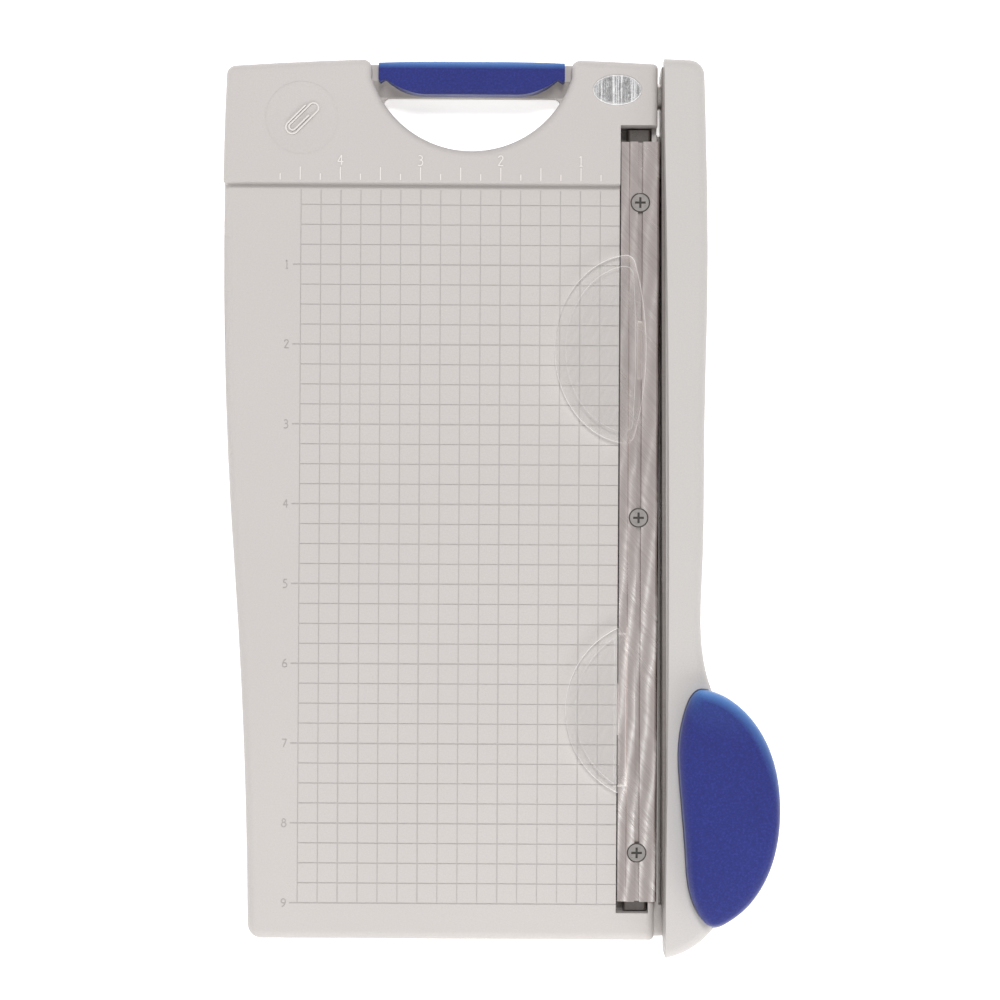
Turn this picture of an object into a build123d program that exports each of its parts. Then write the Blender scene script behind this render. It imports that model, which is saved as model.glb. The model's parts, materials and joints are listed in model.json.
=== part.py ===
from build123d import *
import os
from math import sin, cos, radians

# Guillotine paper trimmer, about 284 mm long: a hollow plastic bed with a screwed-down steel
# cutting bar, a carry handle moulded into its back edge, and a hinged cutting arm on the right.
#
# Layout frame, millimetres: X = 0 is the cut line, +X to the right; Y = 0 is the paper fence,
# +Y away from the user; Z = 0 is the desk. MIDDLE_X, MIDDLE_Y is the middle of the whole
# trimmer, which becomes the origin when the pieces are written.
MIDDLE_X = -51.015
MIDDLE_Y = -102.095

# Heights above the desk
BASE_BOTTOM = 2.0
PLATEN_TOP = 14.0
BLOCK_TOP = 17.5
SHELF_TOP = 8.0
WALL = 2.5

# Plan of the base
BACK_LEFT, LEFT_BULGE, LEFT_WAIST = (-137.9, 37.3), (-139.1, -17.0), (-135.3, -120.5)
FRONT_LEFT = (-130.3, -240.4)
FRONT_Y = FRONT_LEFT[1]
BACK_RIGHT = (-1.1, 38.6)
BACK_MIDDLE = (-60.0, 40.2)
RIGHT_X = -0.6
EDGE_ROUND = 3.0
INCH = 25.4

# Carry handle: a round bowl cut into the back edge, with a bar across it and a pad on the bar
BOWL_X, BOWL_Y, BOWL_RADIUS, BOWL_HALF = -60.2, 44.1, 33.4, 31.8
CARRY_BAR_FRONT, CARRY_BAR_BACK = 29.0, 38.6
CARRY_BAR_LOW, CARRY_BAR_HIGH = 4.5, 12.0
CARRY_RIB_FRONT, CARRY_RIB_BACK = 33.6, 37.0
CARRY_GRIP_HALF = 29.6
CARRY_GRIP_LOW, CARRY_GRIP_HIGH = 8.5, 15.4
CARRY_GRIP_FRONT, CARRY_GRIP_BACK = 29.1, 39.7

# Shelf under the arm, with the slot that the blade drops into
SHELF_RIGHT = 12.0
SHELF_BACK = 17.5
SHELF_CORNER = 11.0
SLOT_FLOOR = 4.0
SLOT_FRONT = -229.7
SLOT_LEFT, SLOT_RIGHT = -0.7, 2.3

# Steel cutting bar and the channel it is screwed to
BAR_LEFT, BAR_BACK, BAR_FRONT = -12.4, 14.2, -227.7
BAR_LOW, BAR_TOP = 11.0, 14.3
FLANGE_RIGHT, FLANGE_TOP = -9.9, 13.6
GROOVE_LEFT, GROOVE_RIGHT = -7.1, -5.5
CHANNEL_LEFT, CHANNEL_RIGHT, CHANNEL_LOW = -10.4, -2.9, 6.5
CHANNEL_BACK, CHANNEL_FRONT = 18.4, -230.9
TROUGH_LEFT, TROUGH_RIGHT = -12.9, -2.6
TROUGH_BACK, TROUGH_FRONT = 18.9, -231.4
BAR_SCREW_X = -6.35
BAR_SCREW_Y = (-5.2, -105.5, -212.1)
BAR_SCREW_HEAD = 3.05

# Cutting arm, built square to the axes and then toed out about the pivot
TOE_OUT = 0.4
PIVOT_Y, PIVOT_Z = 29.0, 10.5
BLADE_LEFT, BLADE_RIGHT = 0.05, 1.1
BLADE_TOP, BLADE_FRONT = 17.0, -229.0
TAIL_RADIUS = 8.4
ARM_LEFT, REBATE_LEFT = 0.5, 1.15
ARM_LOW, ARM_TOP = 9.0, 25.0
ARM_TAIL, ARM_NOSE = 39.0, -243.9
ARM_WALL = 2.0
BLADE_SCREW_Y = (5.0, -60.0, -125.0, -190.0)
BLADE_SCREW_Z = 13.6

# Grip pad on the arm
GRIP_LOW, GRIP_TOP = 24.0, 36.0
GRIP_SCREWS = ((17.0, -184.0), (18.0, -211.0))
GRIP_LEFT, GRIP_RIGHT, GRIP_BACK, GRIP_FRONT = 4.5, 35.5, -159.2, -232.9
GRIP_OUTLINE = [(12.6, -159.2), (21.0, -162.6), (29.3, -171.4), (34.2, -183.5), (35.5, -196.0),
                (33.5, -211.5), (27.5, -224.0), (20.8, -230.5), (14.4, -232.8), (9.6, -227.5),
                (6.5, -210.5), (4.6, -186.0), (6.0, -167.5)]
SEAT_SHIFT = (0.2, -1.9)

# Pivot stack along the hinge axis
BOLT_RADIUS = 2.5
BUSHING_RADIUS = 3.5
BUSHING_END = 9.0
BOLT_HEAD_END = 11.8
NUT_LEFT = -16.0

# Clear finger guards
GUARD_LOW, GUARD_TOP, GUARD_RIM_TOP = 14.5, 15.9, 16.7

# Fasteners and feet
COVER_SCREWS = ((-128, 4), (-22.5, 28.5), (-125, -108), (-20, -108), (-122, -226), (-20, -226))
COVER_TOP = 4.0
COVER_GAP = 0.3
FEET = ((-122.0, 27.0), (-118.0, -214.0), (6.4, 11.0), (6.4, -224.0))
FOOT_RADIUS = 5.0
FOOT_RECESS = 1.0


# ---------------------------------------------------------------- small helpers

def block(x0, x1, y0, y1, z0, z1):
    """Box between two corners."""
    return Pos((x0 + x1) / 2, (y0 + y1) / 2, (z0 + z1) / 2) * Box(x1 - x0, y1 - y0, z1 - z0)


def upright(x, y, z0, z1, radius):
    """Cylinder standing along Z."""
    return Pos(x, y, (z0 + z1) / 2) * Cylinder(radius, z1 - z0)


def lying(x0, x1, y, z, radius):
    """Cylinder lying along X."""
    return Pos((x0 + x1) / 2, y, z) * Rot(0, 90, 0) * Cylinder(radius, x1 - x0)


def slab(sketch, z0, z1):
    """Plan outline extruded between two heights."""
    return extrude(Pos(0, 0, z0) * sketch, z1 - z0)


def rounded_corner(sketch, x, y, radius):
    """Sketch with the corner nearest to (x, y) rounded."""
    return fillet(sketch.vertices().sort_by_distance((x, y, 0))[0], radius)


def countersunk_screw(head_radius, shank_radius, length, head_height, cross=2.6):
    """Countersunk cross-head screw, its flat face up at Z = 0 and its shank down."""
    head = Pos(0, 0, -head_height / 2) * Cone(shank_radius, head_radius, head_height)
    shank = Pos(0, 0, -length / 2) * Cylinder(shank_radius, length)
    screw = head + shank
    for angle in (0, 90):
        screw -= Rot(0, 0, angle) * Box(cross, 0.7, 1.6)
    return screw


def countersunk_hole(head_radius, shank_radius, length, head_height, gap=0.1):
    """Space that a countersunk screw takes, with a gap all round."""
    head = Pos(0, 0, -head_height / 2) * Cone(shank_radius + gap, head_radius + gap, head_height)
    shank = Pos(0, 0, -length / 2) * Cylinder(shank_radius + gap, length)
    return head + shank + Pos(0, 0, 0.25) * Cylinder(head_radius + gap, 0.5)


# ---------------------------------------------------------------- base

def sharp_plan():
    """Outline of the bed with sharp corners: a soft S-curve on the left, straight on the right."""
    upper_left = ThreePointArc(BACK_LEFT, LEFT_BULGE, LEFT_WAIST)
    lower_left = TangentArc(LEFT_WAIST, FRONT_LEFT, tangent=upper_left % 1)
    front = Line(FRONT_LEFT, (RIGHT_X, FRONT_Y))
    right = Polyline((RIGHT_X, FRONT_Y), (RIGHT_X, 0), (BACK_RIGHT[0], 0), BACK_RIGHT)
    back = ThreePointArc(BACK_RIGHT, BACK_MIDDLE, BACK_LEFT)
    return make_face([upper_left, lower_left, front, right, back])


def base_plan():
    """Outline of the bed with its corners rounded."""
    plan = rounded_corner(sharp_plan(), *FRONT_LEFT, 4.5)
    plan = rounded_corner(plan, RIGHT_X, FRONT_Y, 1.5)
    plan = rounded_corner(plan, *BACK_RIGHT, 1.5)
    return rounded_corner(plan, *BACK_LEFT, 3.0)


def inner_plan(inset):
    """Outline of a space inside the bed and clear of the bowl."""
    return offset(sharp_plan(), -inset, kind=Kind.INTERSECTION) - bowl_plan(inset)


def bowl_plan(margin=0.0):
    """Round bowl with upright sides near the back edge, widened by a margin."""
    half = BOWL_HALF + margin
    return Pos(BOWL_X, BOWL_Y) * Circle(BOWL_RADIUS + margin) & region(
        BOWL_X - half, BOWL_X + half, 0, 90)


def region(x0, x1, y0, y1):
    """Rectangle in plan, between two corners."""
    return Pos((x0 + x1) / 2, (y0 + y1) / 2) * Rectangle(x1 - x0, y1 - y0)


def shelf_plan():
    """Outline of the low shelf under the arm, rounded at its front right corner."""
    plan = region(RIGHT_X - 1, SHELF_RIGHT, FRONT_Y + 0.4, SHELF_BACK)
    plan = rounded_corner(plan, SHELF_RIGHT, FRONT_Y, SHELF_CORNER)
    return rounded_corner(plan, SHELF_RIGHT, SHELF_BACK, 3.0)


def soft_top(body, height, radius, keep):
    """Round the outline edges at a height, except those whose middle keep() rejects."""
    edges = body.edges().filter_by_position(Axis.Z, height - 0.01, height + 0.01)
    return fillet([e for e in edges if keep(e @ 0.5)], radius)


def base_outside():
    """Bed, ruler block and shelf before they are hollowed."""
    plan = base_plan()
    bed = slab(plan & region(-200, 50, -300, 4), BASE_BOTTOM, PLATEN_TOP)
    bed = soft_top(bed, PLATEN_TOP, EDGE_ROUND, lambda m: m.X < BACK_RIGHT[0] - 1 and m.Y < 3)
    block_plan = (plan & region(-200, 50, 0, 60)) - bowl_plan()
    for side in (-1, 1):
        block_plan = rounded_corner(block_plan, BOWL_X + side * BOWL_HALF, 40, 2.6)
    raised = slab(block_plan, BASE_BOTTOM, BLOCK_TOP)
    raised = soft_top(raised, BLOCK_TOP, 2.4, lambda m: m.Y > 0.1 and m.X < -2.2)
    raised = soft_top(raised, BLOCK_TOP, 0.9, lambda m: m.Y < 0.1 or m.X > -2.2)
    shelf = slab(shelf_plan(), BASE_BOTTOM, SHELF_TOP)
    shelf = soft_top(shelf, SHELF_TOP, 1.5, lambda m: m.X > 1)
    return bed + raised + shelf


def hollow_plan():
    """Plan of the hollow inside the walls."""
    trough = region(TROUGH_LEFT - WALL, 20, TROUGH_FRONT - WALL, TROUGH_BACK + WALL)
    return inner_plan(WALL) - trough


def bed_ribs():
    """Stiffening ribs under the bed, clear of the bottom cover."""
    low, high = COVER_TOP + 0.3, PLATEN_TOP - 1
    ribs = [block(x - 0.8, x + 0.8, FRONT_Y + 1, 8, low, high) for x in (-98, -57)]
    ribs += [block(-138, TROUGH_LEFT - 1, y - 0.8, y + 0.8, low, high) for y in (-50, -165)]
    return ribs


def base_shell():
    """Bed moulding: hollow below, with ribs, screw bosses, bar trough and blade slot."""
    shell = base_outside()
    hollow = hollow_plan()
    inside = slab(hollow & region(-200, 50, -300, WALL), BASE_BOTTOM - 1, PLATEN_TOP - WALL)
    inside += slab(hollow & region(-200, 50, WALL, 60), BASE_BOTTOM - 1, BLOCK_TOP - WALL)
    for rib in bed_ribs():
        inside -= rib
    for x, y in COVER_SCREWS:
        inside -= upright(x, y, COVER_TOP, BLOCK_TOP - 1, 3.5)
    inside -= upright(*CLIP_DISH, BLOCK_TOP - 6, BLOCK_TOP, 8.5)
    shell -= inside
    shell -= slab(cover_plan(WALL), BASE_BOTTOM - 1, COVER_TOP)
    shell -= upright(*CLIP_DISH, BLOCK_TOP - 6, BLOCK_TOP - WALL, 6.1)
    for x, y in COVER_SCREWS:
        shell -= upright(x, y, COVER_TOP - 1, 11.0, 1.55)
    shell += carry_bar()
    shell -= bar_trough()
    shell -= blade_slot()
    shell -= along_pivot(-10, 2, 3.0)
    for x, y in BED_SCREWS:
        shell -= upright(x, y, 2, 8, 1.6)
        shell -= upright(x, y, 2, 4.9, 2.9)
    for x, y in FEET[2:]:
        shell -= upright(x, y, 0, BASE_BOTTOM + FOOT_RECESS, FOOT_RADIUS + 0.05)
    shell -= clip_dish()
    shell += clip_outline()
    shell -= badge_recess()
    shell += block_ticks()
    shell -= platen_marks()
    return shell


def bar_trough():
    """Pocket that the channel and the cutting bar lie in, open upwards."""
    deep = block(TROUGH_LEFT, TROUGH_RIGHT, TROUGH_FRONT, TROUGH_BACK, CHANNEL_LOW, 30)
    wide = block(TROUGH_LEFT, 5, BAR_FRONT - 0.2, TROUGH_BACK, BAR_LOW, 30)
    notch = block(RIGHT_X - 0.5, 5, BAR_FRONT - 0.2, SHELF_BACK + 40, SHELF_TOP + 5, 30)
    return deep + wide + (notch & block(RIGHT_X - 0.5, 5, -240, TROUGH_BACK, 0, 40))


def blade_slot():
    """Slot in the shelf that the blade drops into, toed out with the arm."""
    long_slot = block(SLOT_LEFT, SLOT_RIGHT, SLOT_FRONT, SHELF_BACK + 1, SLOT_FLOOR, 30)
    slot = in_arm_frame(long_slot)
    return slot & block(RIGHT_X, 20, -300, 40, 0, 30)


def finger_opening():
    """Half-round hole between the bowl and the carry bar, rounded where the two meet."""
    opening = bowl_plan() & region(-200, 0, 0, CARRY_BAR_FRONT)
    for side in (-1, 1):
        opening = rounded_corner(opening, BOWL_X + side * 30, CARRY_BAR_FRONT, 2.0)
    return opening


def carry_bar():
    """Bar of the carry handle: sloped front, and a rib standing in the seat of the pad."""
    plan = (bowl_plan(0.5) & region(-200, 0, CARRY_BAR_FRONT - 4, CARRY_BAR_BACK))
    bar = slab(plan - finger_opening(), CARRY_BAR_LOW, CARRY_BAR_HIGH)
    seat = slab(carry_grip_plan(0.03), CARRY_GRIP_LOW, CARRY_BAR_HIGH + 1)
    rib = block(BOWL_X - 27, BOWL_X + 27, CARRY_RIB_FRONT, CARRY_RIB_BACK, 0, CARRY_BAR_HIGH)
    slope = Polyline((CARRY_BAR_FRONT - 5, 7.5), (CARRY_BAR_FRONT, 7.5), (CARRY_RIB_FRONT, 12.1),
                     (CARRY_RIB_FRONT, 20), (CARRY_BAR_FRONT - 5, 20), close=True)
    bar -= extrude(Plane.YZ.offset(BOWL_X - 40) * make_face(slope), 80)
    return bar - (seat - rib)


def cover_plan(inset):
    """Outline of the space for the bottom cover, drawn in from the outline of the bed."""
    return inner_plan(inset) & region(-200, TROUGH_RIGHT - inset + WALL, -300, 60)


def bottom_cover():
    """Flat cover that closes the hollow bed."""
    cover = slab(cover_plan(WALL + COVER_GAP), BASE_BOTTOM, COVER_TOP)
    for x, y in COVER_SCREWS:
        cover -= Pos(x, y, BASE_BOTTOM) * Rot(180, 0, 0) * countersunk_hole(2.8, 1.5, 5, 1.5)
    for x, y in BED_SCREWS:
        cover -= upright(x, y, 0, 6, 3.4)
    for x, y in FEET[:2]:
        cover -= upright(x, y, 0, BASE_BOTTOM + FOOT_RECESS, FOOT_RADIUS + 0.05)
    return cover


def cover_screws():
    """Six countersunk screws that hold the bottom cover."""
    return [Pos(x, y, BASE_BOTTOM) * Rot(180, 0, 0) * countersunk_screw(2.8, 1.5, 8, 1.5)
            for x, y in COVER_SCREWS]


def rubber_feet():
    """Four round feet, pushed into recesses in the underside."""
    feet = []
    for x, y in FEET:
        foot = upright(x, y, 0, BASE_BOTTOM + FOOT_RECESS, FOOT_RADIUS)
        rim = foot.edges().filter_by_position(Axis.Z, -0.01, 0.01)
        feet.append(fillet(rim, 0.6))
    return feet


# ---------------------------------------------------------------- marks on the platen and block

MARK_WIDTH, MARK_DEPTH = 0.3, 0.15
GRID_RIGHT = BAR_LEFT - 0.45
GRID_LEFT = -4.5 * INCH
NUMBER_X = GRID_LEFT - 4.4
NUMBER_STROKE = 0.32


def arc(*points):
    return ThreePointArc(*points)


def digit_strokes(digit):
    """Pen strokes of one numeral in a cell 0.6 wide and 1 high."""
    strokes = {
        1: [Line((0.3, 0), (0.3, 1.0)), Line((0.14, 0), (0.46, 0)), Line((0.14, 0.86), (0.3, 1.0))],
        2: [arc((0.06, 0.78), (0.34, 1.0), (0.5, 0.7)), Line((0.5, 0.7), (0.04, 0.02)),
            Line((0.04, 0.02), (0.56, 0.02))],
        3: [arc((0.08, 0.9), (0.47, 0.78), (0.2, 0.55)), arc((0.2, 0.55), (0.52, 0.25), (0.04, 0.04))],
        4: [Line((0.42, 0), (0.42, 1.0)), Line((0.42, 1.0), (0.02, 0.34)),
            Line((0.02, 0.34), (0.6, 0.34))],
        5: [Line((0.52, 0.98), (0.16, 0.98)), Line((0.16, 0.98), (0.12, 0.58)),
            arc((0.12, 0.58), (0.52, 0.3), (0.05, 0.03))],
        6: [arc((0.48, 1.0), (0.16, 0.72), (0.04, 0.3)), Pos(0.3, 0.28) * ring(0.26)],
        7: [Line((0.04, 0.96), (0.57, 0.96)), Line((0.57, 0.96), (0.2, 0.02))],
        8: [Pos(0.3, 0.77) * ring(0.2), Pos(0.3, 0.28) * ring(0.27)],
        9: [Pos(0.3, 0.7) * ring(0.26), arc((0.56, 0.68), (0.44, 0.28), (0.12, 0.0))],
    }
    return strokes[digit]


def ring(radius):
    return CenterArc((0, 0), radius, 0, 360)


def numeral(digit, x, y, size):
    """Numeral of a given size, centred on (x, y), as a plan sketch of thin strokes."""
    pen = Sketch()
    for stroke in digit_strokes(digit):
        pen += trace(stroke, line_width=NUMBER_STROKE / size)
    return Pos(x - 0.3 * size, y - 0.5 * size) * scale(pen, by=size)


def platen_marks():
    """Quarter-inch grid engraved in the bed, with heavier inch lines and their numbers."""
    low, high = PLATEN_TOP - MARK_DEPTH, PLATEN_TOP + 1
    marks = []
    for quarter in range(3, 19):
        x = -quarter * INCH / 4
        half = MARK_WIDTH * (0.7 if quarter % 4 == 0 else 0.5)
        marks.append(block(x - half, x + half, -9 * INCH, -1.6, low, high))
    for quarter in range(1, 37):
        y = -quarter * INCH / 4
        whole_inch = quarter % 4 == 0
        left = GRID_LEFT - (2.5 if whole_inch else 0)
        half = MARK_WIDTH * (0.7 if whole_inch else 0.5)
        marks.append(block(left, GRID_RIGHT, y - half, y + half, low, high))
    for inch in range(1, 10):
        marks.append(slab(numeral(inch, NUMBER_X, -inch * INCH, 2.6), low, high))
    return marks


def block_ticks():
    """Raised ticks and numbers on the ruler block, just behind the fence."""
    low, high = BLOCK_TOP - 0.3, BLOCK_TOP + 0.2
    ticks = []
    for quarter in range(3, 20):
        x = -quarter * INCH / 4
        length = 3.0 if quarter % 2 else 5.1
        ticks.append(block(x - 0.16, x + 0.16, 1.0, length, low, high))
    for inch in range(1, 5):
        ticks.append(slab(numeral(inch, -inch * INCH, 7.3, 3.1), low, high))
    return ticks


# ---------------------------------------------------------------- clip holder and badge

CLIP_DISH = (-113.9, 20.7)
CLIP_DISH_RADIUS, CLIP_DISH_DEPTH, CLIP_DISH_STEP = 11.6, 0.8, 0.12
BADGE_X, BADGE_Y = -14.0, 30.0
BADGE_LONG, BADGE_SHORT = 7.7, 4.8


def clip_dish():
    """Very shallow round dish for loose paper clips, part of a large sphere, its rim a low step."""
    sphere_radius = (CLIP_DISH_RADIUS ** 2 + CLIP_DISH_DEPTH ** 2) / (2 * CLIP_DISH_DEPTH)
    sphere = Pos(*CLIP_DISH, BLOCK_TOP - CLIP_DISH_DEPTH + sphere_radius) * Sphere(sphere_radius)
    return sphere + upright(*CLIP_DISH, BLOCK_TOP - CLIP_DISH_STEP, BLOCK_TOP + 2, CLIP_DISH_RADIUS)


def clip_outline():
    """Raised outline of a paper clip on the floor of the dish, on the diagonal."""
    outer, left_inner, right_inner = 2.0, -1.2, 1.0
    wire = [
        Line((-outer, 3.7), (-outer, -4.35)),
        arc((-outer, -4.35), (0, -6.35), (outer, -4.35)),
        Line((outer, -4.35), (outer, 4.75)),
        arc((outer, 4.75), (0.4, 6.35), (left_inner, 4.75)),
        Line((left_inner, 4.75), (left_inner, -4.1)),
        arc((left_inner, -4.1), (-0.1, -5.2), (right_inner, -4.1)),
        Line((right_inner, -4.1), (right_inner, 2.1)),
    ]
    pen = Sketch()
    for stroke in wire:
        pen += trace(stroke, line_width=0.5)
    high = BLOCK_TOP - 0.25
    return Pos(*CLIP_DISH, 0) * Rot(0, 0, -45) * slab(pen, high - 1.0, high)


def clip_magnet():
    """Disc magnet under the dish."""
    return upright(*CLIP_DISH, BLOCK_TOP - WALL - 2.5, BLOCK_TOP - WALL, 6.0)


def badge_recess():
    return Pos(BADGE_X, BADGE_Y) * slab(Ellipse(BADGE_LONG + 0.1, BADGE_SHORT + 0.1),
                                        BLOCK_TOP - 0.6, BLOCK_TOP + 1)


def badge_plate():
    """Plain oval foil plate in its recess."""
    plate = slab(Ellipse(BADGE_LONG, BADGE_SHORT), BLOCK_TOP - 0.6, BLOCK_TOP - 0.2)
    return Pos(BADGE_X, BADGE_Y) * plate


def badge_dome():
    """Clear dome over the foil plate."""
    dome = Pos(0, 0, BLOCK_TOP - 0.2) * scale(Sphere(1), by=(BADGE_LONG, BADGE_SHORT, 1.7))
    return Pos(BADGE_X, BADGE_Y) * (dome & block(-20, 20, -20, 20, BLOCK_TOP - 0.2, BLOCK_TOP + 9))


# ---------------------------------------------------------------- carry handle sleeve

def carry_grip_plan(grow=0.0):
    """Outline of the pad: bowed at the back, scooped in front, with a small cusp at each end."""
    half = CARRY_GRIP_HALF + grow
    front = CARRY_GRIP_FRONT - grow
    back, back_end = CARRY_GRIP_BACK + grow, CARRY_GRIP_BACK - 0.8 + grow
    scoop_end, scoop_middle = (27.4, front + 4.5), (22.0, front + 1.4)
    outline = [arc((-half, back_end), (0, back), (half, back_end)), Line((-14, front), (14, front))]
    for side in (-1, 1):
        outline.append(Polyline((side * half, back_end), (side * half, front + 4.2),
                                (side * (half - 0.6), front + 3.6), (side * scoop_end[0], scoop_end[1])))
        outline.append(arc((side * scoop_end[0], scoop_end[1]), (side * scoop_middle[0], scoop_middle[1]),
                           (side * 14, front)))
    return Pos(BOWL_X, 0) * make_face(outline)


def carry_grip():
    """Soft pad on the carry bar, rounded along its top, with a slot for the rib of the bar."""
    gap, rounding = 0.03, 3.4
    front, back = CARRY_GRIP_FRONT - 0.2, CARRY_GRIP_BACK
    section = region(front, back, CARRY_GRIP_LOW + gap, CARRY_GRIP_HIGH)
    section = rounded_corner(section, front, CARRY_GRIP_HIGH, rounding)
    section = rounded_corner(section, back, CARRY_GRIP_HIGH, rounding)
    pad = extrude(Plane.YZ.offset(BOWL_X - 35) * section, 70)
    pad &= slab(carry_grip_plan(), 0, 20)
    return pad - block(BOWL_X - 27 - gap, BOWL_X + 27 + gap, CARRY_RIB_FRONT - gap,
                       CARRY_RIB_BACK + gap, 0, CARRY_BAR_HIGH + gap)


# ---------------------------------------------------------------- cutting bar

BED_SCREWS = ((-6.65, 8.0), (-6.65, -60.0), (-6.65, -160.0), (-6.65, -222.0))


def fixed_blade():
    """Steel cutting bar: low flange, two lands with a slotted track between, bevelled edge."""
    profile = make_face(Polyline(
        (BAR_LEFT, BAR_LOW), (BAR_LEFT, FLANGE_TOP), (FLANGE_RIGHT, FLANGE_TOP),
        (FLANGE_RIGHT + 0.3, BAR_TOP), (GROOVE_LEFT, BAR_TOP), (GROOVE_LEFT, 13.4),
        (GROOVE_LEFT - 0.8, 13.4), (GROOVE_LEFT - 0.8, 12.2), (GROOVE_RIGHT + 0.8, 12.2),
        (GROOVE_RIGHT + 0.8, 13.4), (GROOVE_RIGHT, 13.4), (GROOVE_RIGHT, BAR_TOP),
        (-0.95, BAR_TOP), (-0.45, 14.1), (0, 13.3), (0, BAR_LOW), (BAR_LEFT, BAR_LOW)))
    bar = extrude(Plane.XZ.offset(-BAR_BACK) * profile, BAR_BACK - BAR_FRONT)
    for y in BAR_SCREW_Y:
        bar -= Pos(BAR_SCREW_X, y, BAR_TOP) * countersunk_hole(BAR_SCREW_HEAD, 1.75, 12, 1.7)
    return bar


def blade_bed():
    """Inverted steel channel in the trough, tapped for the bar screws and the bed screws."""
    outer = block(CHANNEL_LEFT, CHANNEL_RIGHT, CHANNEL_FRONT, CHANNEL_BACK, CHANNEL_LOW, BAR_LOW)
    outer = fillet(outer.edges().filter_by(Axis.Y).group_by(Axis.Z)[-1], 1.0)
    hollow = block(CHANNEL_LEFT + 1.4, CHANNEL_RIGHT - 1.4, CHANNEL_FRONT - 1, CHANNEL_BACK + 1,
                   CHANNEL_LOW - 1, BAR_LOW - 1.6)
    bed = outer - hollow
    for x, y in BED_SCREWS:
        bed += upright(x, y, CHANNEL_LOW, BAR_LOW - 1.0, 2.8)
    for x, y in BED_SCREWS:
        bed -= upright(x, y, CHANNEL_LOW - 1, BAR_LOW - 1.2, 1.55)
    for y in BAR_SCREW_Y:
        bed -= upright(BAR_SCREW_X, y, CHANNEL_LOW - 1, BAR_LOW + 1, 1.8)
    return bed


def bar_screws():
    """Three countersunk screws that hold the bar to the channel."""
    return [Pos(BAR_SCREW_X, y, BAR_TOP) * countersunk_screw(BAR_SCREW_HEAD, 1.75, 6.4, 1.7, 3.4)
            for y in BAR_SCREW_Y]


def bed_screws():
    """Pan-head screws from below that hold the channel to the bed."""
    return [upright(x, y, 3.2, 4.9, 2.8) + upright(x, y, 4.9, 9.2, 1.5) for x, y in BED_SCREWS]


# ---------------------------------------------------------------- finger guards

def lens_plan(left, right, back, front, inset=0.0):
    """Rounded lens outline in plan: half an ellipse on the left, a shallow bow on the right."""
    back, front = back - inset, front + inset
    shoulder = right - 4.4
    half_length = (back - front) / 2
    middle = (back + front) / 2
    bulge = EllipticalCenterArc((shoulder, middle), shoulder - left - inset, half_length,
                                start_angle=90, arc_size=180)
    bow = arc((shoulder, front), (right - inset, middle), (shoulder, back))
    lens = make_face([bulge, bow])
    return fillet(lens.vertices(), 3.0)


def guard_upper():
    """Clear lens-shaped guard over the bar, its foot running in the slotted track."""
    left, right, back, front = -33.3, -4.3, -22.0, -82.0
    plan = lens_plan(left, right, back, front)
    guard = slab(plan, GUARD_LOW, GUARD_RIM_TOP)
    guard -= slab(lens_plan(left, right, back, front, 3.4), GUARD_TOP, GUARD_RIM_TOP + 1)
    middle = (back + front) / 2
    neck = block(GROOVE_LEFT + 0.15, GROOVE_RIGHT - 0.15, middle - 9, middle + 9, 13.0, 14.6)
    foot = block(GROOVE_LEFT - 0.65, GROOVE_RIGHT + 0.65, middle - 9, middle + 9, 12.3, 13.3)
    return guard + neck + foot


def half_moon_plan(left, right, back, front):
    """Half-moon outline in plan: one arc on the left, straight on the right."""
    middle = (back + front) / 2
    return make_face([arc((right, back), (left, middle), (right, front)),
                      Line((right, front), (right, back))])


def guard_lower():
    """Clear half-moon guard at the bar's left edge, hooked under the bar's flange."""
    left, back, front = -29.3, -140.5, -192.8
    middle = (back + front) / 2
    flange_left, ridge = BAR_LEFT - 0.3, FLANGE_RIGHT - 0.2
    guard = slab(half_moon_plan(left, flange_left, back, front), GUARD_LOW, GUARD_RIM_TOP)
    guard -= slab(half_moon_plan(left + 3, flange_left - 1.2, back - 3, front + 3), GUARD_TOP, 20)
    guard += block(flange_left, ridge, front + 2, back - 2, FLANGE_TOP + 0.15, GUARD_TOP)
    leg = block(BAR_LEFT - 0.4, BAR_LEFT - 0.1, middle - 8, middle + 8, 10.3, GUARD_TOP)
    hook = block(BAR_LEFT - 0.4, BAR_LEFT + 1.4, middle - 8, middle + 8, 10.3, 10.9)
    return guard + leg + hook


# ---------------------------------------------------------------- cutting arm

def in_arm_frame(body):
    """Turn a body about the vertical through the pivot, so that the arm is toed out."""
    return Pos(0, PIVOT_Y, 0) * Rot(0, 0, TOE_OUT) * Pos(0, -PIVOT_Y, 0) * body


def pivot_cylinder(x0, x1, radius):
    return lying(x0, x1, PIVOT_Y, PIVOT_Z, radius)


def along_pivot(x0, x1, radius):
    return in_arm_frame(pivot_cylinder(x0, x1, radius))


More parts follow.
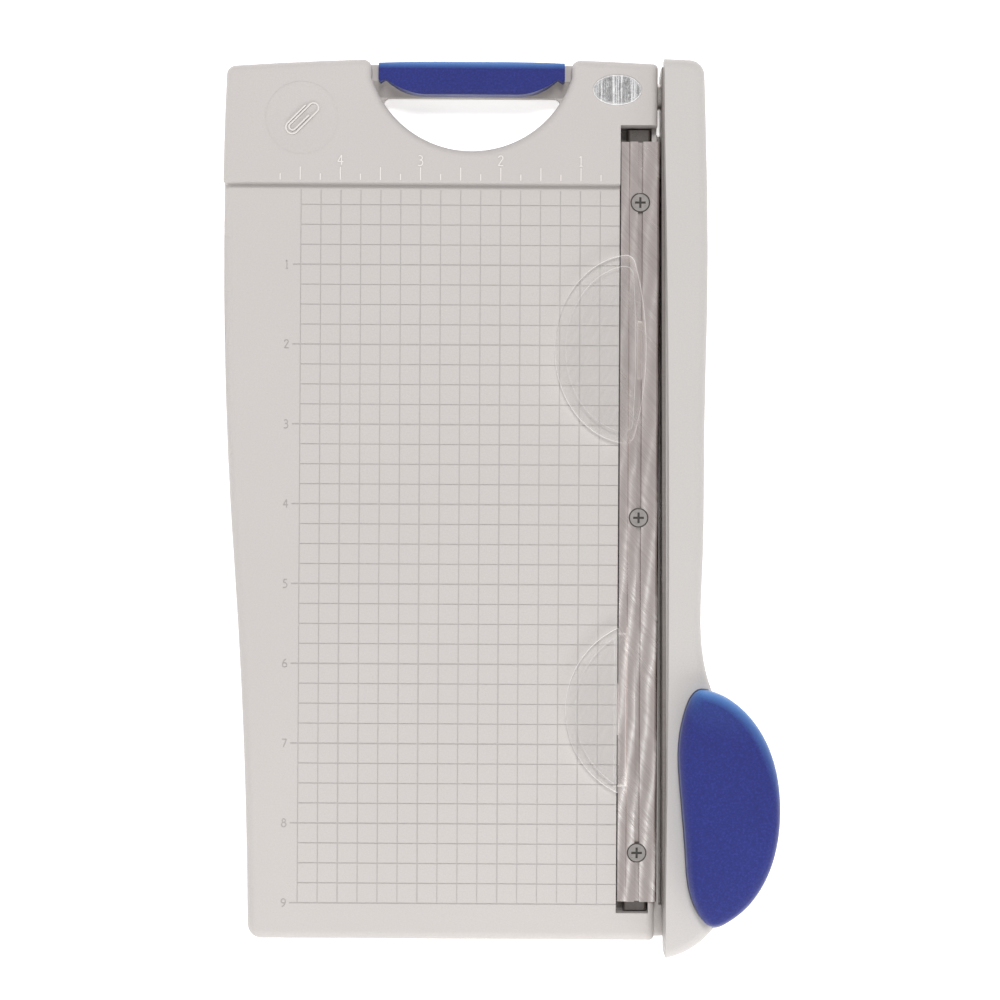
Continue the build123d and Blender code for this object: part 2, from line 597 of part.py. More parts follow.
def moving_blade():
    """Steel blade: round tail at the pivot, long cutting edge, bevelled on its right side."""
    tail_back = PIVOT_Y + TAIL_RADIUS
    edge_back = (PIVOT_Y - TAIL_RADIUS * cos(radians(30)), PIVOT_Z - TAIL_RADIUS * sin(radians(30)))
    profile = make_face([
        Line((tail_back, BLADE_TOP), (tail_back, PIVOT_Z)),
        arc((tail_back, PIVOT_Z), (PIVOT_Y, PIVOT_Z - TAIL_RADIUS), edge_back),
        Line(edge_back, (BLADE_FRONT + 6, 4.7)),
        arc((BLADE_FRONT + 6, 4.7), (BLADE_FRONT + 1.3, 6.6), (BLADE_FRONT, 10)),
        Line((BLADE_FRONT, 10), (BLADE_FRONT, BLADE_TOP)),
        Line((BLADE_FRONT, BLADE_TOP), (tail_back, BLADE_TOP)),
    ])
    blade = extrude(Plane.YZ.offset(BLADE_LEFT) * profile, BLADE_RIGHT - BLADE_LEFT)
    blade -= pivot_cylinder(-1, 3, BOLT_RADIUS + 0.08)
    for y in BLADE_SCREW_Y:
        blade -= Pos(BLADE_LEFT, y, BLADE_SCREW_Z) * Rot(0, -90, 0) * countersunk_hole(2.4, 1.4, 9, 1.0)
    return blade


def blade_screws():
    """Countersunk screws that hold the blade to the arm."""
    return [Pos(BLADE_LEFT, y, BLADE_SCREW_Z) * Rot(0, -90, 0) * countersunk_screw(2.4, 1.4, 8, 1.0, 2.2)
            for y in BLADE_SCREW_Y]


def grip_plan(margin=0.0):
    """D-shaped outline of the grip, drawn in by a margin on every side."""
    middle_x = (GRIP_LEFT + GRIP_RIGHT) / 2
    middle_y = (GRIP_BACK + GRIP_FRONT) / 2
    shrink_x = 1 - 2 * margin / (GRIP_RIGHT - GRIP_LEFT)
    shrink_y = 1 - 2 * margin / (GRIP_BACK - GRIP_FRONT)
    points = [(middle_x + (x - middle_x) * shrink_x, middle_y + (y - middle_y) * shrink_y)
              for x, y in GRIP_OUTLINE]
    return make_face([Spline(points, periodic=True)])


def arm_plan():
    """Outline of the arm: slim beam, pointed nose, widening to carry the grip."""
    return make_face([
        Line((ARM_LEFT, ARM_TAIL), (ARM_LEFT, ARM_NOSE)),
        arc((ARM_LEFT, ARM_NOSE), (9.2, -240.4), (15.8, -234.2)),
        Line((15.8, -234.2), (17.5, -165.0)),
        Spline((17.5, -165.0), (13.4, -154.0), (12.35, -121.0), (13.0, -81.0), (14.15, -26.0),
               (13.6, 18.0), (13.1, ARM_TAIL - 0.6)),
        Line((13.1, ARM_TAIL - 0.6), (ARM_LEFT, ARM_TAIL)),
    ])


def arm_waist():
    """Plan of the long shallow hollow in the left side of the arm, above the blade."""
    back, front = (ARM_LEFT, 18.0), (ARM_LEFT, -226.0)
    bow = arc(back, (1.65, -112.0), front)
    return make_face([bow, Polyline(front, (-2, -226.0), (-2, 18.0), back)])


def arm_cover():
    """Arm moulding: beam open below, with the grip seat, screw bosses and the pivot boss."""
    plan = rounded_corner(arm_plan(), 13.1, ARM_TAIL, 5.0)
    beam = slab(plan, ARM_LOW, ARM_TOP)
    beam = soft_top(beam, ARM_TOP, 3.2, lambda m: m.X > ARM_LEFT + 1)
    beam -= slab(arm_waist(), BLADE_TOP + 0.2, 50)
    seat_place = Pos(*SEAT_SHIFT)
    seat = slab(seat_place * grip_plan(0.7), ARM_LOW + 3, GRIP_LOW)
    seat = fillet(seat.edges().filter_by_position(Axis.Z, ARM_LOW + 2.9, ARM_LOW + 3.1), 2.0)
    arm = beam + seat + pivot_cylinder(REBATE_LEFT, 12.4, TAIL_RADIUS)
    arm -= slab(grip_plan(-0.25), GRIP_LOW, 50)
    inside = (Pos(-ARM_WALL, 0) * plan) & (Pos(0, ARM_WALL + 1) * plan)
    inside &= region(REBATE_LEFT + ARM_WALL + 0.4, 60, -300, ARM_TAIL)
    hollow = slab(inside, 0, ARM_TOP - ARM_WALL - 1)
    hollow += slab(seat_place * grip_plan(0.7 + ARM_WALL), 0, GRIP_LOW - ARM_WALL)
    hollow -= block(-5, 20, PIVOT_Y - 10, 60, 0, 40)
    for y in BLADE_SCREW_Y:
        hollow -= lying(0, 9.5, y, BLADE_SCREW_Z, 3.0)
    for x, y in GRIP_SCREWS:
        hollow -= upright(x, y, GRIP_LOW - 5, GRIP_LOW, 3.6)
    arm -= hollow
    arm -= block(-5, REBATE_LEFT, BLADE_FRONT - 0.3, 60, -5, BLADE_TOP + 0.2)
    for y in BLADE_SCREW_Y:
        arm -= lying(0, 9.0, y, BLADE_SCREW_Z, 1.45)
    for x, y in GRIP_SCREWS:
        arm -= upright(x, y, 0, GRIP_LOW + 1, 1.6)
        arm -= upright(x, y, 0, GRIP_LOW - 3, 3.1)
    arm -= pivot_cylinder(0, BUSHING_END + 0.05, BUSHING_RADIUS + 0.02)
    return arm - pivot_cylinder(BUSHING_END, 30, 5.2)


def arm_grip():
    """Soft blue pad, crowned on top and rounded at its edge, hollow below with two bosses."""
    plan = grip_plan()
    crown_radius = 150.0
    pad = slab(plan, GRIP_LOW, GRIP_TOP + 3)
    pad &= Pos(20, -197, GRIP_TOP - crown_radius) * Sphere(crown_radius)
    rim = [e for e in pad.edges() if e.center().Z > GRIP_LOW + 3 and e.length > 20]
    pad = fillet(rim, 4.0)
    hollow = slab(grip_plan(2.6), GRIP_LOW, GRIP_TOP - 5.5)
    for x, y in GRIP_SCREWS:
        hollow -= upright(x, y, GRIP_LOW, GRIP_TOP, 3.4)
    pad -= hollow
    for x, y in GRIP_SCREWS:
        pad -= upright(x, y, GRIP_LOW - 1, GRIP_TOP - 6, 1.45)
    return pad


def grip_screws():
    """Two pan-head screws from below into the grip."""
    return [upright(x, y, GRIP_LOW - 5, GRIP_LOW - 3, 2.8) + upright(x, y, GRIP_LOW - 3, GRIP_LOW + 5, 1.4)
            for x, y in GRIP_SCREWS]


# ---------------------------------------------------------------- pivot

def pivot_bolt():
    """Shoulder bolt through the arm, the blade and the wall of the block."""
    head = pivot_cylinder(BUSHING_END + 0.06, BOLT_HEAD_END, 4.6)
    head = fillet(head.edges().filter_by_position(Axis.X, BOLT_HEAD_END - 0.1, BOLT_HEAD_END + 0.1), 1.2)
    socket = Plane.YZ.offset(BOLT_HEAD_END - 1.4) * Pos(PIVOT_Y, PIVOT_Z) * RegularPolygon(1.7, 6)
    return head + pivot_cylinder(NUT_LEFT - 1.2, BUSHING_END + 0.5, BOLT_RADIUS) - extrude(socket, 5)


def pivot_bushing():
    """Bronze bushing pressed into the arm."""
    return pivot_cylinder(REBATE_LEFT, BUSHING_END, BUSHING_RADIUS) - pivot_cylinder(
        0, 20, BOLT_RADIUS + 0.06)


def pivot_washers():
    """One washer between the block and the blade, two at the ends of the spring."""
    washers = []
    for left, right, radius in ((-1.0, 0.0, 4.2), (-5.2, -4.3, 4.4), (-12.0, -11.1, 4.4)):
        washers.append(pivot_cylinder(left, right, radius) - pivot_cylinder(-20, 20, BOLT_RADIUS + 0.1))
    return washers


def pivot_spring():
    """Compression spring that draws the blade against the cutting bar."""
    wire, radius, left, right = 0.45, 3.4, -10.6, -5.7
    coil = Helix(pitch=(right - left) / 4, height=right - left, radius=radius)
    section = Plane(origin=coil @ 0, z_dir=coil % 0) * Circle(wire)
    spring = sweep(section, path=coil)
    return Pos(left, PIVOT_Y, PIVOT_Z) * Rot(0, 90, 0) * spring


def pivot_nut():
    """Locking nut on the inner end of the bolt."""
    hexagon = Plane.YZ.offset(NUT_LEFT) * Pos(PIVOT_Y, PIVOT_Z) * RegularPolygon(4.5, 6)
    nut = extrude(hexagon, 4.0)
    return nut - pivot_cylinder(-30, 0, BOLT_RADIUS + 0.02)


# ---------------------------------------------------------------- assembly

ON_ARM_FRAME = (arm_cover, moving_blade, blade_screws, arm_grip, grip_screws, pivot_bolt,
                pivot_bushing, pivot_washers, pivot_spring, pivot_nut)
ON_BASE_FRAME = (base_shell, bottom_cover, cover_screws, rubber_feet, clip_magnet, badge_plate,
                 badge_dome, carry_grip, fixed_blade, blade_bed, bar_screws, bed_screws,
                 guard_upper, guard_lower)


def write_piece(make, toed_out):
    """Build one node and write it to parts/ in the trimmer's own frame."""
    made = make()
    solids = made if isinstance(made, list) else [made]
    if toed_out:
        solids = [in_arm_frame(solid) for solid in solids]
    placed = [Pos(-MIDDLE_X, -MIDDLE_Y, 0) * solid for solid in solids]
    body = placed[0] if len(placed) == 1 else Compound(children=placed)
    export_step(body, f"parts/{make.__name__}.step")
    return body


os.makedirs("parts", exist_ok=True)
pieces = [write_piece(make, True) for make in ON_ARM_FRAME]
pieces += [write_piece(make, False) for make in ON_BASE_FRAME]
box = Compound(children=pieces).bounding_box()
print("box", box.min, box.max)
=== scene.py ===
import json
from math import radians

import bpy
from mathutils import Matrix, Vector


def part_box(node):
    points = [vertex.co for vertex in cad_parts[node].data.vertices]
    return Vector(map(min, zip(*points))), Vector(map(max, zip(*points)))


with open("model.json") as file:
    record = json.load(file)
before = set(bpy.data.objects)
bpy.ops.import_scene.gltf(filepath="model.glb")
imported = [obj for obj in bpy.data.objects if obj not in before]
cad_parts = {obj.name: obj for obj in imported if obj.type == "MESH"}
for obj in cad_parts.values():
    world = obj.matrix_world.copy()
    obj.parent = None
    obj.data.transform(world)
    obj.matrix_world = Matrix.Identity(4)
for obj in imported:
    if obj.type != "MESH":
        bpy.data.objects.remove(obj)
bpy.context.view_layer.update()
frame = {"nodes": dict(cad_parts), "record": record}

# Finishes, light and camera for a guillotine paper trimmer. Metres, Z up, the origin on the desk
# under the middle of the trimmer; +Y is its back edge, with the carry handle, and +X its arm side.
# Every piece is shown by its own CAD body.

MM = 0.001


# ---------------------------------------------------------------- places that the finishes follow

BED_TOP, BLOCK_TOP, BAR_TOP = 14.0 * MM, 17.5 * MM, 14.3 * MM
RAISED_MARKS = BLOCK_TOP + 0.05 * MM
GROOVE_FLOOR = BED_TOP - 0.15 * MM
NUMBERS_LEFT_OF = -65.9 * MM

CLIP_TOP = BLOCK_TOP - 0.25 * MM
CLIP_REACH = 8.4 * MM
DISH_LOW, DISH_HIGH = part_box("clip_magnet")
CLIP_MIDDLE = (DISH_LOW + DISH_HIGH) / 2

SCREW_HEAD_RADIUS, SCREW_RIM_INSIDE, SCREW_RIM_OUTSIDE = 3.05 * MM, 2.72 * MM, 3.2 * MM
SCREW_RECESS = BAR_TOP - 0.25 * MM
MIDDLE_SCREW_Y = -3.4 * MM
SCREWS_LOW, SCREWS_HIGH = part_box("bar_screws")
BAR_SCREW_X = (SCREWS_LOW.x + SCREWS_HIGH.x) / 2
BAR_SCREW_YS = (SCREWS_HIGH.y - SCREW_HEAD_RADIUS, MIDDLE_SCREW_Y,
                SCREWS_LOW.y + SCREW_HEAD_RADIUS)

# Painted highlight streaks on the bar: width, pitch, and where they are strongest and faintest
STREAK_WIDTH, STREAK_PITCH = 4.2 * MM, 38 * MM
STREAKS_STRONG_Y, STREAKS_FAINT_Y = -45 * MM, 25 * MM


# ---------------------------------------------------------------- colours

def srgb(red, green, blue):
    """Linear colour from display values 0 to 255."""
    def channel(value):
        value /= 255
        return value / 12.92 if value <= 0.04045 else ((value + 0.055) / 1.055) ** 2.4
    return (channel(red), channel(green), channel(blue), 1.0)


def shade(color, factor):
    """A colour made lighter or darker, kept within 1."""
    return tuple(min(1.0, c * factor) for c in color[:3]) + (1.0,)


BED_GREY = srgb(194, 189, 186)
ARM_GREY = srgb(194, 190, 187)
BLUE = (0.026, 0.033, 0.178, 1.0)
# Painted highlight blue for the grips' slopes that face away from the user
PAINTED_HIGHLIGHT_BLUE = (0.09, 0.24, 0.56, 1.0)
SHEEN_BLUE = (0.3, 0.55, 1.0, 1.0)
BAR_STEEL = (0.86, 0.77, 0.74, 1.0)
# Painted highlight colour for the bar's streaks
PAINTED_STREAK_HIGHLIGHT = (1.0, 0.98, 0.96, 1.0)
BLADE_STEEL = srgb(196, 189, 185)
SCREW_STEEL = srgb(226, 220, 216)
# Painted shade for the screw rims and recesses
RECESS_SHADE = (0.09, 0.085, 0.08, 1.0)
RUBBER = srgb(46, 46, 47)
FOIL_DARK, FOIL_BRIGHT = (0.7, 0.7, 0.72, 1.0), (1.0, 1.0, 1.0, 1.0)
CLEAR_HAZE, CLEAR_EDGE = (0.42, 0.41, 0.4, 1.0), (0.97, 0.97, 0.97, 1.0)
# Painted glow for the clear guards' upright edges
PAINTED_EDGE_GLOW = (1.0, 0.99, 0.98, 1.0)
WHITE = (1.0, 1.0, 1.0, 1.0)

# Plated and drawn metals: colour and roughness
PLATED_METALS = {
    "channel_steel": (srgb(150, 144, 140), 0.35),
    "screw_steel": (SCREW_STEEL, 0.3),
    "spring_steel": (srgb(150, 150, 152), 0.3),
    "bronze": (srgb(180, 140, 80), 0.4),
    "magnet": (srgb(160, 160, 164), 0.25),
}


# ---------------------------------------------------------------- node material helper

class Surface:
    """A procedural material under construction, with its object coordinates in metres."""

    def __init__(self, name, color, roughness, metallic=0.0):
        self.material = bpy.data.materials.new(name)
        self.material.use_nodes = True
        self.nodes = self.material.node_tree.nodes
        self.links = self.material.node_tree.links
        self.bsdf = self.nodes["Principled BSDF"]
        self.coordinates = self.nodes.new("ShaderNodeTexCoord").outputs["Object"]
        self.color = color
        self.tone = color
        self.bumped = None
        self.set("Base Color", color)
        self.set("Roughness", roughness)
        self.set("Metallic", metallic)

    def feed(self, socket, value):
        """Give a socket a number or a colour, or link another node's output into it."""
        if isinstance(value, (int, float, tuple)):
            socket.default_value = value
        else:
            self.links.new(value, socket)

    def set(self, name, value):
        """Feed one of the finish's own inputs."""
        self.feed(self.bsdf.inputs[name], value)

    def mapped(self, scale, turn):
        """Object coordinates turned about Z and then stretched."""
        turned = self.nodes.new("ShaderNodeMapping")
        turned.inputs["Rotation"].default_value = (0, 0, turn)
        stretched = self.nodes.new("ShaderNodeMapping")
        stretched.inputs["Scale"].default_value = scale
        self.links.new(self.coordinates, turned.inputs["Vector"])
        self.links.new(turned.outputs["Vector"], stretched.inputs["Vector"])
        return stretched.outputs["Vector"]

    def noise(self, scale, detail=3.0, roughness=0.5, vector=None):
        """Noise from about 0.3 to 0.7; its scale counts patches to the metre."""
        node = self.nodes.new("ShaderNodeTexNoise")
        node.inputs["Scale"].default_value = scale
        node.inputs["Detail"].default_value = detail
        node.inputs["Roughness"].default_value = roughness
        self.links.new(vector or self.coordinates, node.inputs["Vector"])
        return node.outputs["Fac"]

    def remap(self, value, low, high, from_low=0.3, from_high=0.7):
        """Stretch a value from one range to another, stopping at its ends."""
        node = self.nodes.new("ShaderNodeMapRange")
        node.inputs["From Min"].default_value = from_low
        node.inputs["From Max"].default_value = from_high
        node.inputs["To Min"].default_value = low
        node.inputs["To Max"].default_value = high
        self.links.new(value, node.inputs["Value"])
        return node.outputs["Result"]

    def math(self, operation, *values):
        """One math node on numbers or sockets."""
        node = self.nodes.new("ShaderNodeMath")
        node.operation = operation
        for socket, value in zip(node.inputs, values):
            self.feed(socket, value)
        return node.outputs["Value"]

    def product(self, first, *others):
        """All the values multiplied together."""
        for other in others:
            first = self.math("MULTIPLY", first, other)
        return first

    def blend(self, factor, first, second):
        """Colour between two colours or colour sockets."""
        node = self.nodes.new("ShaderNodeMix")
        node.data_type = "RGBA"
        self.feed(node.inputs["Factor"], factor)
        for key, value in (("A", first), ("B", second)):
            self.feed([s for s in node.inputs if s.name == key and s.type == "RGBA"][0], value)
        return [s for s in node.outputs if s.type == "RGBA"][0]

    def tint(self, mask, color):
        """Lay a colour over what is painted so far, where the mask is above 0."""
        self.tone = self.blend(mask, self.tone, color)
        self.set("Base Color", self.tone)

    def mottle(self, noise, low, high):
        """Paint noise between two shades of the surface's own colour."""
        self.tone = shade(self.color, low)
        self.tint(self.remap(noise, 0, 1), shade(self.color, high))

    def bump(self, height, distance, strength=1.0):
        """Add one layer of relief; distance is in metres."""
        node = self.nodes.new("ShaderNodeBump")
        node.inputs["Distance"].default_value = distance
        node.inputs["Strength"].default_value = strength
        self.links.new(height, node.inputs["Height"])
        if self.bumped is not None:
            self.links.new(self.bumped, node.inputs["Normal"])
        self.bumped = node.outputs["Normal"]
        self.set("Normal", self.bumped)

    def part_of(self, vector, axis):
        """The X, Y or Z of a vector."""
        node = self.nodes.new("ShaderNodeSeparateXYZ")
        self.links.new(vector, node.inputs["Vector"])
        return node.outputs[axis]

    def place(self, axis):
        """One of the object coordinates, in metres; Z is the height above the desk."""
        return self.part_of(self.coordinates, axis)

    def facing(self, axis):
        """How far the piece's own surface leans towards X, Y or Z, wherever the piece has moved."""
        return self.part_of(self.nodes.new("ShaderNodeTexCoord").outputs["Normal"], axis)

    def near(self, x, y, radius):
        """1 within a distance of an upright line, 0 outside it."""
        flat = self.nodes.new("ShaderNodeVectorMath")
        flat.operation = "MULTIPLY"
        flat.inputs[1].default_value = (1, 1, 0)
        apart = self.nodes.new("ShaderNodeVectorMath")
        apart.operation = "DISTANCE"
        apart.inputs[1].default_value = (x, y, 0)
        self.links.new(self.coordinates, flat.inputs[0])
        self.links.new(flat.outputs["Vector"], apart.inputs[0])
        return self.math("LESS_THAN", apart.outputs["Value"], radius)


# ---------------------------------------------------------------- plastics and rubber

def moulded_plastic(name, color, roughness, grain):
    """Matt moulded plastic: fine spark-eroded grain, slight mottling, uneven gloss."""
    surface = Surface(name, color, roughness)
    fine = surface.noise(2000, 2, 0.6)
    surface.mottle(surface.noise(18, 2), 0.985, 1.015)
    surface.tint(surface.remap(fine, 0, 0.6), shade(color, 0.9))
    surface.set("Roughness", surface.remap(surface.noise(70, 3), roughness - 0.07, roughness + 0.07))
    surface.bump(fine, grain)
    surface.bump(surface.noise(420, 2), grain * 1.5, 0.5)
    surface.set("Specular IOR Level", 0.35)
    return surface


def bed_moulding(name, color):
    """Plastic of the bed: raised marks painted lighter, painted shade in the grooves, deepest in the
    numbers.
    """
    surface = moulded_plastic(name, color, 0.55, 0.02 * MM)
    height = surface.place("Z")
    # Raised marks painted lighter
    raised = surface.math("GREATER_THAN", height, RAISED_MARKS)
    surface.tint(surface.product(raised, 0.9), shade(color, 1.45))

    # Painted shade in the grooves, deeper in the numbers
    in_groove = surface.product(
        surface.math("GREATER_THAN", height, GROOVE_FLOOR - 0.05 * MM),
        surface.math("LESS_THAN", height, GROOVE_FLOOR + 0.1 * MM),
        surface.math("GREATER_THAN", surface.facing("Z"), 0.995))
    numbers = surface.math("LESS_THAN", surface.place("X"), NUMBERS_LEFT_OF)
    groove_shade = surface.math("ADD", surface.product(numbers, 0.25), 0.5)
    surface.tint(surface.product(in_groove, groove_shade), shade(color, 0.7))

    at_clip_top = surface.math("COMPARE", height, CLIP_TOP, 0.015 * MM)
    clip = surface.product(at_clip_top, surface.near(CLIP_MIDDLE.x, CLIP_MIDDLE.y, CLIP_REACH))
    surface.tint(surface.product(clip, 0.8), shade(color, 1.35))
    return surface


def soft_touch(name, color):
    """Matt rubbery coating with a fine nap; the slopes that face away from the user get a painted
    highlight in pale blue.
    """
    surface = Surface(name, color, 0.5)
    nap = surface.noise(1500, 2, 0.6)
    surface.mottle(surface.noise(25, 2), 0.93, 1.06)
    surface.tint(surface.remap(nap, 0.5, 0, 0.3, 0.55), shade(color, 0.7))
    surface.tint(surface.remap(nap, 0, 0.35, 0.5, 0.7), shade(color, 1.7))
    # Painted highlight: pale blue on the slopes that face away from the user
    highlight_slope = surface.math("ADD", surface.facing("Y"), surface.product(surface.facing("X"), 0.2))
    surface.tint(surface.remap(highlight_slope, 0, 0.85, 0.15, 0.85), PAINTED_HIGHLIGHT_BLUE)
    surface.set("Roughness", surface.remap(surface.noise(90, 3), 0.34, 0.44))
    surface.set("Specular IOR Level", 0.3)
    surface.bump(surface.noise(2600, 2, 0.6), 0.01 * MM)
    surface.set("Sheen Weight", 0.06)
    surface.set("Sheen Roughness", 0.4)
    surface.set("Sheen Tint", SHEEN_BLUE)
    return surface


def clear_plastic(name):
    """Clear acrylic: see-through when faced squarely; its upright edges painted white and given a
    painted glow of emission, standing in for the light they pipe.
    """
    surface = Surface(name, CLEAR_EDGE, 0.05)
    level = surface.math("ABSOLUTE", surface.facing("Z"))
    edge = surface.remap(level, 1.0, 0.0, 0.55, 0.985)
    scuffs = surface.noise(1.0, 4, 0.7, surface.mapped((900, 120, 300), 0.5))
    haze = surface.remap(scuffs, 0.035, 0.075, 0.35, 0.75)
    # Painted glow: upright edges painted white and lit by emission
    surface.set("Base Color", surface.blend(edge, CLEAR_HAZE, CLEAR_EDGE))
    surface.set("Emission Color", PAINTED_EDGE_GLOW)
    surface.set("Emission Strength", surface.product(edge, 0.42))
    surface.set("Alpha", surface.math("MAXIMUM", haze, surface.product(edge, 0.64)))
    surface.set("Roughness", surface.remap(scuffs, 0.03, 0.12, 0.5, 0.8))
    surface.bump(surface.noise(140, 2), 0.01 * MM, 0.5)
    return surface


def foot_rubber(name, color):
    """Dull moulded rubber with a coarse skin."""
    surface = Surface(name, color, 0.8)
    fine = surface.noise(900, 3)
    surface.mottle(fine, 0.8, 1.3)
    surface.set("Roughness", surface.remap(surface.noise(200, 2), 0.7, 0.9))
    surface.bump(fine, 0.04 * MM)
    return surface


# ---------------------------------------------------------------- metals

def painted_highlight_streaks(surface, scratches, strength):
    """Painted highlight streaks: slanting pale, less metallic bands that repeat along the bar,
    strongest towards the user.
    """
    wobble = surface.product(surface.noise(55, 2), 0.9)
    slant = surface.product(surface.place("X"), 1 / STREAK_WIDTH)
    along = surface.product(surface.place("Y"), 1 / STREAK_PITCH)
    phase = surface.math("ADD", surface.math("SUBTRACT", slant, along), wobble)
    off_centre = surface.math("SUBTRACT", surface.math("FRACT", phase), 0.5)
    distance = surface.math("ABSOLUTE", off_centre)
    bright = surface.math("POWER", surface.remap(distance, strength, 0.0, 0.0, 0.42), 1.7)
    sparkle = surface.remap(scratches, 0.3, 1.0, 0.4, 0.65)
    fading = surface.remap(surface.place("Y"), 1.0, 0.3, STREAKS_STRONG_Y, STREAKS_FAINT_Y)
    # Painted highlight: pale bands with less metal, standing in for reflected light
    streak_highlight = surface.product(bright, sparkle, fading)
    surface.tint(streak_highlight, PAINTED_STREAK_HIGHLIGHT)
    surface.set("Metallic", surface.math("SUBTRACT", 1.0, surface.product(streak_highlight, 0.8)))


def ground_steel(name, color, roughness, angle, streaks=0.0):
    """Ground steel: fine parallel scratches across broader patches, with painted highlight streaks
    if asked for.
    """
    surface = Surface(name, color, roughness, 1.0)
    scratches = surface.noise(1.0, 5, 0.65, surface.mapped((3200, 90, 90), angle))
    patches = surface.noise(1.0, 3, 0.5, surface.mapped((160, 16, 40), angle))
    surface.mottle(scratches, 0.86, 1.1)
    surface.tint(surface.remap(patches, 0, 0.5), shade(color, 1.12))
    if streaks:
        painted_highlight_streaks(surface, scratches, streaks)
    surface.set("Roughness", surface.remap(patches, roughness + 0.06, roughness - 0.06))
    surface.bump(scratches, 0.008 * MM)
    surface.set("Anisotropic", 0.4)
    return surface


def plated_metal(name, color, roughness, dark=0.82, bright=1.12):
    """Plated or drawn metal: small pits, uneven shine, its colour between two shades."""
    surface = Surface(name, color, roughness, 1.0)
    patches = surface.noise(500, 3)
    surface.mottle(patches, dark, bright)
    surface.set("Roughness", surface.remap(patches, roughness - 0.08, roughness + 0.12))
    surface.bump(surface.noise(3000, 3, 0.6), 0.008 * MM)
    return surface


def bar_screw_steel(name, color):
    """Plated screw heads with painted shade round their rims and in the cross recess."""
    surface = plated_metal(name, color, 0.3, dark=0.85, bright=1.1)
    # Painted shade below the head's face and round each rim
    recess_shade = surface.math("LESS_THAN", surface.place("Z"), SCREW_RECESS)
    for y in BAR_SCREW_YS:
        inside = surface.near(BAR_SCREW_X, y, SCREW_RIM_INSIDE)
        rim = surface.math("SUBTRACT", surface.near(BAR_SCREW_X, y, SCREW_RIM_OUTSIDE), inside)
        recess_shade = surface.math("MAXIMUM", recess_shade, rim)
    surface.tint(surface.product(recess_shade, 0.85), RECESS_SHADE)
    return surface


def embossed_foil(name):
    """Bright foil, finely crinkled, partly mirror and partly white."""
    surface = Surface(name, FOIL_BRIGHT, 0.3)
    crinkle = surface.noise(520, 3, 0.6)
    surface.set("Base Color", surface.blend(surface.remap(crinkle, 0, 1), FOIL_DARK, FOIL_BRIGHT))
    surface.set("Metallic", surface.remap(surface.noise(900, 2), 0.4, 0.0))
    surface.set("Roughness", surface.remap(crinkle, 0.2, 0.4))
    surface.bump(crinkle, 0.06 * MM)
    return surface


# ---------------------------------------------------------------- CAD nodes

FINISHES = {name: plated_metal(name, *look) for name, look in PLATED_METALS.items()}
FINISHES.update({
    "bed_plastic": bed_moulding("bed_plastic", BED_GREY),
    # A darker copy of the bed's grey: painted shade for the carry bar that sits low under the grip
    "cover_plastic": moulded_plastic("cover_plastic", shade(BED_GREY, 0.93), 0.6, 0.03 * MM),
    "arm_plastic": moulded_plastic("arm_plastic", ARM_GREY, 0.45, 0.012 * MM),
    "blue_soft": soft_touch("blue_soft", BLUE),
    "bar_steel": ground_steel("bar_steel", BAR_STEEL, 0.3, radians(-40), streaks=0.95),
    "blade_steel": ground_steel("blade_steel", BLADE_STEEL, 0.32, radians(90)),
    "bar_screw_steel": bar_screw_steel("bar_screw_steel", SCREW_STEEL),
    "badge_foil": embossed_foil("badge_foil"),
    "clear_plastic": clear_plastic("clear_plastic"),
    "foot_rubber": foot_rubber("foot_rubber", RUBBER),
})
SPECIAL_FINISH = {"bar_screws": "bar_screw_steel"}


def dress(node, slot_name):
    """Give a CAD node the finish of its slot, or its special one."""
    obj = frame["nodes"][node]
    obj.data.materials.clear()
    obj.data.materials.append(FINISHES[SPECIAL_FINISH.get(node, slot_name)].material)


def soft_edges(node, width):
    """Break the sharp edges of a CAD node with a small bevel."""
    obj = frame["nodes"][node]
    weld = obj.modifiers.new("weld", "WELD")
    weld.merge_threshold = 0.01 * MM
    bevel = obj.modifiers.new("soft edges", "BEVEL")
    bevel.width = width
    bevel.segments = 3
    bevel.limit_method = "ANGLE"
    bevel.angle_limit = radians(40)


for subpart in frame["record"]["subparts"]:
    dress(subpart["node"], subpart["material_slot"])
soft_edges("guard_upper", 0.35 * MM)
soft_edges("guard_lower", 0.35 * MM)
soft_edges("arm_cover", 0.6 * MM)


# ---------------------------------------------------------------- stage, light and camera

FLOOR_SIZE, FLOOR_DROP = 40.0, 0.2 * MM
LIGHTS = (  # name, place, aimed at, size, power
    ("key", (0.05, 0.58, 1.25), (0, 0, 0), (0.3, 0.3), 10.3),
    ("front", (0.1, -0.48, 0.26), (0, -0.08, 0), (0.9, 0.2), 2.2),
    ("left", (-0.7, 0.1, 0.35), (0, 0, 0), (0.3, 0.8), 1.5),
)
SURROUND, SURROUND_TO_THE_RIGHT = 0.46, 0.1
SENSOR_WIDTH, VIEW_WIDTH = 36, 0.3183
VIEW_X, VIEW_Y, VIEW_ABOVE_BED, VIEW_TURN = 0.56 * MM, 2.01 * MM, 0.7, radians(0.33)


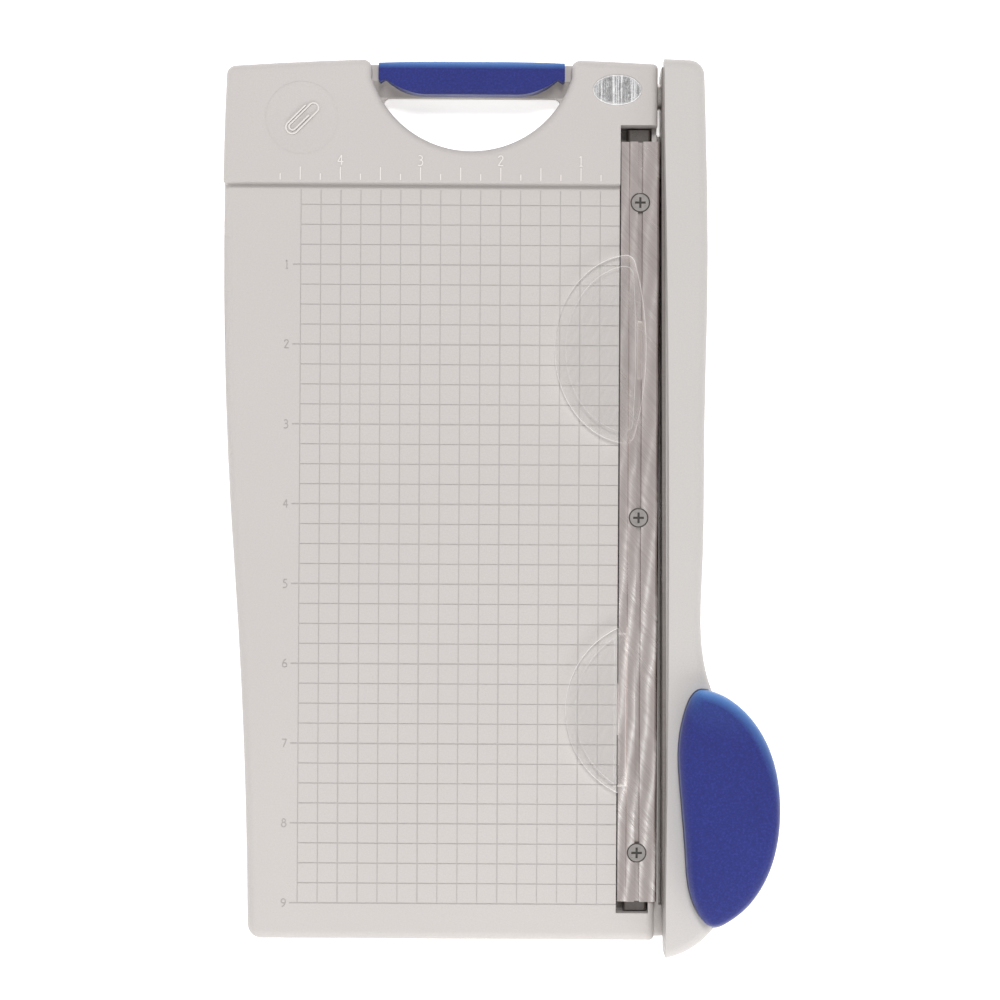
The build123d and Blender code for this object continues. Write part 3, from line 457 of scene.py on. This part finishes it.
def floor():
    """Pale studio floor, just below the feet, faintly lit of itself so that it stays white."""
    bpy.ops.mesh.primitive_plane_add(size=FLOOR_SIZE, location=(0, 0, -FLOOR_DROP))
    plane = bpy.context.object
    plane.name = "studio_floor"
    surface = Surface("studio_floor", (0.95, 0.95, 0.95, 1.0), 0.9)
    surface.set("Emission Color", WHITE)
    surface.set("Emission Strength", 0.45)
    plane.data.materials.append(surface.material)


def soft_light(name, place, target, size, power):
    """Rectangular light aimed at a point, out of sight in the polished metal."""
    light = bpy.data.lights.new(name, "AREA")
    light.shape = "RECTANGLE"
    light.size, light.size_y = size
    light.energy = power
    lamp = bpy.data.objects.new(name, light)
    lamp.location = place
    lamp.rotation_euler = (Vector(target) - Vector(place)).to_track_quat("-Z", "Y").to_euler()
    lamp.visible_glossy = False
    bpy.context.scene.collection.objects.link(lamp)


def surround():
    """White surround, a little brighter on the right."""
    world = bpy.data.worlds.new("studio")
    world.use_nodes = True
    nodes, links = world.node_tree.nodes, world.node_tree.links
    split = nodes.new("ShaderNodeSeparateXYZ")
    links.new(nodes.new("ShaderNodeTexCoord").outputs["Generated"], split.inputs["Vector"])
    strength = nodes.new("ShaderNodeMath")
    strength.operation = "MULTIPLY_ADD"
    strength.inputs[1].default_value = SURROUND_TO_THE_RIGHT
    strength.inputs[2].default_value = SURROUND
    links.new(split.outputs["X"], strength.inputs[0])
    nodes["Background"].inputs["Color"].default_value = WHITE
    links.new(strength.outputs["Value"], nodes["Background"].inputs["Strength"])
    bpy.context.scene.world = world


def camera():
    """Looking straight down at the bed, turned a third of a degree."""
    data = bpy.data.cameras.new("camera")
    data.sensor_width = SENSOR_WIDTH
    data.lens = SENSOR_WIDTH * VIEW_ABOVE_BED / VIEW_WIDTH
    view = bpy.data.objects.new("camera", data)
    view.location = (VIEW_X, VIEW_Y, VIEW_ABOVE_BED + BED_TOP)
    view.rotation_euler = (0, 0, VIEW_TURN)
    bpy.context.scene.collection.objects.link(view)
    bpy.context.scene.camera = view


floor()
for light in LIGHTS:
    soft_light(*light)
surround()
camera()
bpy.context.scene.view_settings.view_transform = "Standard"
